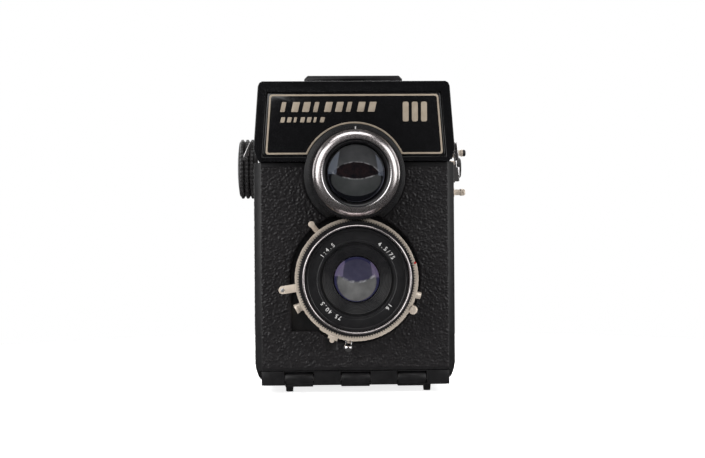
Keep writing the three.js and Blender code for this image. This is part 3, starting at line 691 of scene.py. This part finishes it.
def taking_lens():
    centre = (0, TAKING_Z)
    case = span("shutter_case")
    r = (case[1].x - case[0].x) / 2
    profile = [(17.8, -42.2), (17.8, -37.5), (r, -37.5)]
    for y0, y1 in ((-36.3, -34.7), (-33.5, -31.9), (-30.7, -29.1)):
        profile += [(r, y0), (20, y0), (20, y1), (r, y1)]
    profile += [(r, case[1].y), (10, case[1].y), (10, -26.8), (18.5, -26.8), (18.5, -31.4),
                (10, -31.4), (10, -32.6), (14, -32.6), (14, -42.2)]
    turned("shutter_case_shown", profile, centre, SATIN, "shutter_case")

    rim = span("taking_rim")
    outer, inner = (rim[1].x - rim[0].x) / 2, 20.45
    front, back = rim[0].y, rim[1].y
    threads = []
    pitch = 0.5
    y = back - 0.6
    while y > front + 0.9:
        threads += [(inner, y), (inner + 0.16, y - pitch / 2)]
        y -= pitch
    profile = [(outer, front + 0.5), (outer, -44.2), (outer - 0.25, -44.0), (outer - 0.25, back),
               (inner, back)]
    profile += threads
    half = (outer - inner) / 2
    for k in range(9):
        a = pi * k / 8
        profile.append((inner + half - half * cos(a), front + 0.5 - 0.5 * sin(a)))
    turned("taking_rim_shown", profile, centre, BEZEL, "taking_rim", fillet=0.0, segments=192)

    face = span("lens_face_ring")
    out, y = (face[1].x - face[0].x) / 2, face[0].y
    profile = [(out, y), (out, face[1].y), (9.1, face[1].y), (9.1, -44.7)]
    baffles = 7
    for k in range(baffles):
        t = k / baffles
        r0, y0 = 9.5 + 3.9 * t, -44.9 - 2.0 * t
        profile += [(r0, y0), (r0 + 0.34, y0)]
    profile += [(13.55, -47.1), (13.6, -46.5), (14.6, -46.5), (14.65, y + 0.05), (15.3, y),
                (15.5, y + 0.12), (15.7, y), (18.9, y), (19.1, y + 0.14), (19.3, y)]
    turned("lens_face_shown", profile, centre, SATIN, "lens_face_ring", fillet=0.05, segments=192)
    gear("taking_gear", "taking_focus_ring", 140, 18.1, TAKING_Z, pi / 2)
    dome("taking_glass_shown", "taking_front_element", TAKING_GLASS, 1.5)


def speed_ring():
    lo, hi = span("speed_ring")
    ticks, per_tick = 90, 4
    wide_from, wide_to = -2.2, radians(14)

    def wave(i, angle):
        step = 0.42 if wide_from < ((angle + pi) % (2 * pi)) - pi < wide_to else 0.0
        notch = 0.12 if int(angle / (2 * pi) * ticks * per_tick) % per_tick == 0 else 0.0
        return (step - notch) if i < 4 else 0.0

    profile = [(24.15, lo.y), (24.3, lo.y + 0.2), (24.3, hi.y - 0.2), (24.15, hi.y), (18.2, hi.y),
               (18.2, lo.y)]
    bm = lathed(bmesh.new(), profile, (0, TAKING_Z), ticks * per_tick, wave)
    finished("speed_ring_shown", bm, NICKEL, "speed_dial", "nickel", ["speed_ring"])
    x, z = on_lens(25.7, -29.1)
    knob = [(0, lo.y - 0.5), (1.3, lo.y - 0.5), (1.8, lo.y), (1.8, hi.y), (0, hi.y)]
    turned("speed_handle", knob, (x, z), NICKEL, body="speed_dial", slot="nickel", fillet=0.25, segments=40,
           wave=lambda i, a: 0.06 * cos(14 * a))
    x, z = on_lens(24.05, 14.7)
    dot = [(0, lo.y - 0.12), (0.42, lo.y - 0.12), (0.5, lo.y + 0.1), (0, lo.y + 0.1)]
    turned("red_index", dot, (x, z), RED, body="speed_dial", slot="nickel", fillet=0.05, segments=24)


def viewing_lens():
    centre = (0, VIEWING_Z)
    refined("viewing_lens_barrel", 0.15)
    bezel = span("viewing_bezel")
    out = (bezel[1].x - bezel[0].x) / 2
    profile = [(out, bezel[1].y), (14.6, bezel[1].y), (14.6, -44), (13.3, -44)]
    y = -44.4
    while y > -49.2:
        profile += [(13.3, y), (13.45, y - 0.2)]
        y -= 0.4
    profile += [(13.3, -49.9), (13.5, -50.25)]
    steps = 16
    for k in range(steps + 1):
        t = k / steps
        profile.append((13.7 + (out - 13.7) * t, -50.35 + 0.35 * t + 2.3 * t ** 3))
    turned("viewing_bezel_shown", profile, centre, BEZEL, "viewing_bezel", fillet=0.0, segments=192)
    knurl = [(13.32, -50.32), (13.62, -50.42), (13.62, -50.2), (13.32, -50.1)]
    turned("bezel_knurl", knurl, centre, CHROME, body="viewing_focus", slot="chrome", fillet=0.0,
           segments=480, wave=lambda i, a: 0.05 * cos(120 * a) if i < 2 else 0.0)
    cell = span("viewing_front_cell")
    steps = 9
    profile = [(13.0, cell[0].y), (13.0, cell[1].y), (11.5, cell[1].y)]
    for k in range(steps):
        t = k / steps
        profile += [(11.5 + 0.9 * t, -45.2 - 3.0 * t), (11.5 + 0.9 * t + 0.1, -45.35 - 3.0 * t)]
    turned("viewing_cell_shown", profile, centre, SATIN, "viewing_front_cell", fillet=0.0, segments=160)
    gear("viewing_gear", "viewing_focus_ring", 112, 16.9, VIEWING_Z, -pi / 2 + pi / 112)
    dome("viewing_glass_shown", "viewing_front_element", VIEWING_GLASS, 1.7)
    z = VIEWING_Z + 18.0
    mark = [(-0.25, z - 0.55), (0.25, z - 0.55), (0.25, z + 0.55), (-0.25, z + 0.55)]
    plate("viewing_index", [mark], -42.62, -42.5, MARKING, "viewing_focus", "chrome", bevel=0.03)


# ---------------------------------------------------------------- levers and small fittings
def levers():
    for node, bevel in (("release_lever", 0.2), ("aperture_lever", 0.2), ("self_timer_lever", 0.2),
                        ("cocking_lever", 0.12)):
        refined(node, bevel)
    x, z = on_lens(29.5, 188.6)
    lo = span("release_lever")[0].y
    rivet = [(0, lo - 0.35), (0.5, lo - 0.35), (0.85, lo + 0.1), (0, lo + 0.1)]
    turned("release_rivet", rivet, (x, z), STEEL, body="release", slot="nickel", fillet=0.15, segments=32)
    x, z = on_lens(28.0, 263.5)
    ball_r, ball_y = 1.92, -32.7
    turns = [pi * k / 12 for k in range(1, 12)]
    ball = [(0, ball_y - ball_r)] + [(ball_r * sin(a), ball_y - ball_r * cos(a)) for a in turns]
    turned("cocking_ball", ball + [(0, ball_y + ball_r)], (x, z), CHROME, body="cocking", slot="chrome",
           fillet=0, segments=40)
    for node in ("flash_sync_socket", "cable_release_socket"):
        refined(node, 0.15)


def advance_knob():
    lo, hi = span("advance_knob")
    rim = (hi.z - lo.z) / 2
    x0 = lo.x
    profile = [(0.0, x0)]
    for k in range(1, 7):
        profile.append((11.4 * k / 6, x0 + 0.75 * (k / 6) ** 2.4))
    profile += [(12.1, x0 + 1.0)]
    ridges = []
    for i in range(3):
        x = x0 + 1.7 + i * 2.2
        ridges += [len(profile) + 1, len(profile) + 2]
        profile += [(rim - 1.2, x - 0.6), (rim - 0.1, x), (rim - 0.1, x + 0.9)]
    profile += [(rim - 1.2, hi.x - 1.3), (rim - 1.4, hi.x), (0.0, hi.x)]
    teeth = 44

    def wave(i, angle):
        if i in ridges:
            return 0.32 * max(-1.0, min(0.3, 1.4 * cos(teeth * angle)))
        return 0.0

    bm = lathed(bmesh.new(), profile, (SPOOL_Y, SPOOL_Z), teeth * 8, wave, "x")
    finished("advance_knob_shown", bm, PLASTIC, "film_advance", "black_plastic", ["advance_knob"], angle=38)


def side_fittings():
    x = span("take_up_pull_knob")[0].x
    profile = [(0, x), (2.3, x), (2.3, 47.4), (4.3, 47.4), (4.45, 47.7), (4.45, 49.1), (4.1, 49.5),
               (1.6, 49.5), (1.4, 49.2), (0, 49.2)]
    turned("pull_knob_shown", profile, (SPOOL_Y, SPOOL_Z), PLASTIC, "take_up_pull_knob", fillet=0.1,
           segments=112, about="x", wave=lambda i, a: 0.07 * cos(28 * a) if 12 < i < 24 else 0.0)
    for node, base, head, tip, slot in (("upper_bracket_stud", 2.55, 1.5, SATIN, "black_metal"),
                                        ("lower_bracket_stud", 2.25, 1.45, NICKEL, "chrome")):
        lo, hi = span(node)
        spot = (lo.y + hi.y) / 2, (lo.z + hi.z) / 2
        x = hi.x
        washer = [(1.3, lo.x), (base, lo.x), (base, lo.x + 0.9), (1.3, lo.x + 0.9)]
        turned(f"{node}_washer", washer, spot, SATIN, body="root", slot="black_metal", about="x",
               segments=64)
        stem = [(0, lo.x + 0.2), (1.25, lo.x + 0.2), (1.25, lo.x + 1.1), (2.0, lo.x + 1.2),
                (1.9, lo.x + 1.7), (1.2, lo.x + 1.9), (1.2, x - 2.4), (head, x - 1.9), (head, x - 1.3),
                (0, x - 1.3)]
        turned(f"{node}_shown", stem, spot, NICKEL, node, about="x", segments=64, fillet=0.1)
        cap = [(0, x - 1.25), (head * 0.96, x - 1.25), (head * 0.96, x - 0.4), (head * 0.6, x), (0, x)]
        turned(f"{node}_cap", cap, spot, tip, body="root", slot=slot, about="x", segments=64, fillet=0.3)
    refined("accessory_shoe", 0.22, CHROME)
    refined("left_strap_lug", 0.2)
    refined("right_strap_lug", 0.2)


# ---------------------------------------------------------------- hood, door, body
def lid_cover():
    """The raised cover: a chamfered pad with a fine embossed texture and a finger notch."""
    lo, hi = span("lid_cover")
    refined("lid_cover", 0.25, LEATHER)
    low, high = (-18.4, lo.y + 4.6), (18.4, hi.y - 0.5)
    leather_sheet("cover_grain", low, high, lambda u, v: box_distance(u, v, low, high),
                  lambda u, v, h: (u, v, hi.z - 0.25 + h * 0.75), "lid", 0.35, 31.0)


def casings():
    refined("body_shell", 0.3, TRIM)
    refined("viewfinder_housing", 0.7, ENAMEL, segments=4)
    refined("back_door", 0.3, TRIM)
    for node in ("door_latch", "window_shutter", "tripod_bush", "hood_lid", "magnifier_frame",
                 "hood_left_flap", "hood_right_flap", "hood_back_flap"):
        refined(node, 0.15)
    magnifier_glass("magnifier_lens")


def magnifier_glass(node):
    """A disc of glass that is domed on both faces."""
    lo, hi = span(node)
    radius = (hi.x - lo.x) / 2
    profile = [(radius * k / 8, hi.z - 0.7 * (k / 8) ** 2) for k in range(9)]
    profile += [(radius * k / 8, lo.z + 0.7 * (k / 8) ** 2) for k in range(8, -1, -1)]
    bm = lathed(bmesh.new(), profile, ((lo.x + hi.x) / 2, (lo.y + hi.y) / 2), 96, about="z")
    finished(f"{node}_shown", bm, CLEAR_GLASS, BODY_OF[node], SLOT_OF[node], [node])


# ---------------------------------------------------------------- stage
def area_light(name, location, target, size, power):
    data = bpy.data.lights.new(name, "AREA")
    data.shape = "RECTANGLE"
    data.size, data.size_y = size
    data.energy = power
    light = bpy.data.objects.new(name, data)
    light.location = location
    light.rotation_euler = (Vector(target) - Vector(location)).to_track_quat("-Z", "Y").to_euler()
    bpy.context.scene.collection.objects.link(light)


def pale_floor():
    bm = bmesh.new()
    bmesh.ops.create_circle(bm, cap_ends=True, segments=128, radius=0.3)
    mesh = bpy.data.meshes.new("floor")
    bm.to_mesh(mesh)
    bm.free()
    floor = bpy.data.objects.new("floor", mesh)
    bpy.context.scene.collection.objects.link(floor)
    pale = bpy.data.materials.new("pale_floor")
    pale.use_nodes = True
    shader = pale.node_tree.nodes["Principled BSDF"]
    shader.inputs["Base Color"].default_value = (0.93, 0.93, 0.93, 1)
    shader.inputs["Roughness"].default_value = 0.8
    shader.inputs["Emission Color"].default_value = (1, 1, 1, 1)
    shader.inputs["Emission Strength"].default_value = 0.8
    mesh.materials.append(pale)
    floor.visible_glossy = False


def surroundings():
    """White where the camera sees past the floor, faint everywhere else."""
    world = bpy.data.worlds.new("studio")
    bpy.context.scene.world = world
    world.use_nodes = True
    tree = world.node_tree
    seen = tree.nodes.new("ShaderNodeBackground")
    seen.inputs["Color"].default_value = (1, 1, 1, 1)
    seen.inputs["Strength"].default_value = 1.0
    ambient = tree.nodes["Background"]
    ambient.inputs["Color"].default_value = (1, 0.99, 0.985, 1)
    ambient.inputs["Strength"].default_value = 0.06
    path = tree.nodes.new("ShaderNodeLightPath")
    mix = tree.nodes.new("ShaderNodeMixShader")
    tree.links.new(path.outputs["Is Camera Ray"], mix.inputs[0])
    tree.links.new(ambient.outputs[0], mix.inputs[1])
    tree.links.new(seen.outputs[0], mix.inputs[2])
    tree.links.new(mix.outputs[0], tree.nodes["World Output"].inputs["Surface"])


def softboxes():
    aim = (0, 0, 0.065)
    area_light("left_softbox", (-0.85, -0.45, 0.32), aim, (0.6, 0.9), 3.2)
    area_light("right_softbox", (0.85, -0.4, 0.32), aim, (0.6, 0.9), 2.8)
    area_light("top_softbox", (-0.1, -0.3, 1.0), aim, (1.0, 0.6), 4.4)
    area_light("back_softbox", (0.0, 0.9, 0.6), aim, (1.2, 0.7), 9.0)
    area_light("back_left", (-0.8, 0.75, 0.4), aim, (0.7, 0.8), 3.0)
    area_light("back_right", (0.8, 0.75, 0.4), aim, (0.7, 0.8), 3.0)
    area_light("front_left", (-0.8, -0.95, 0.5), aim, (0.9, 0.8), 4.6)
    area_light("front_right", (0.85, -0.9, 0.45), aim, (0.7, 0.8), 3.2)


def add_camera():
    distance, azimuth, roll = 570.0, -2.0, -0.4
    sensor, view_width = 36, 285
    target = Vector((-0.9, PANEL[0].y, 66.4))
    a = radians(azimuth)
    away = Vector((sin(a), -cos(a), 0))
    data = bpy.data.cameras.new("camera")
    data.sensor_width = sensor
    data.lens = sensor * distance / view_width
    camera = bpy.data.objects.new("camera", data)
    aim = (-away).to_track_quat("-Z", "Y").to_matrix().to_4x4()
    place = Matrix.Translation((target + away * distance) * MM)
    camera.matrix_world = place @ aim @ Matrix.Rotation(radians(roll), 4, "Z")
    bpy.context.scene.collection.objects.link(camera)
    bpy.context.scene.camera = camera


noise.seed_set(7)
bpy.context.scene.view_settings.view_transform = "Standard"
add_camera()
pale_floor()
surroundings()
softboxes()
casings()
front_panel()
side_leather()
back_leather()
name_plate()
lid_cover()
viewing_lens()
taking_lens()
lens_markings()
speed_ring()
levers()
advance_knob()
side_fittings()
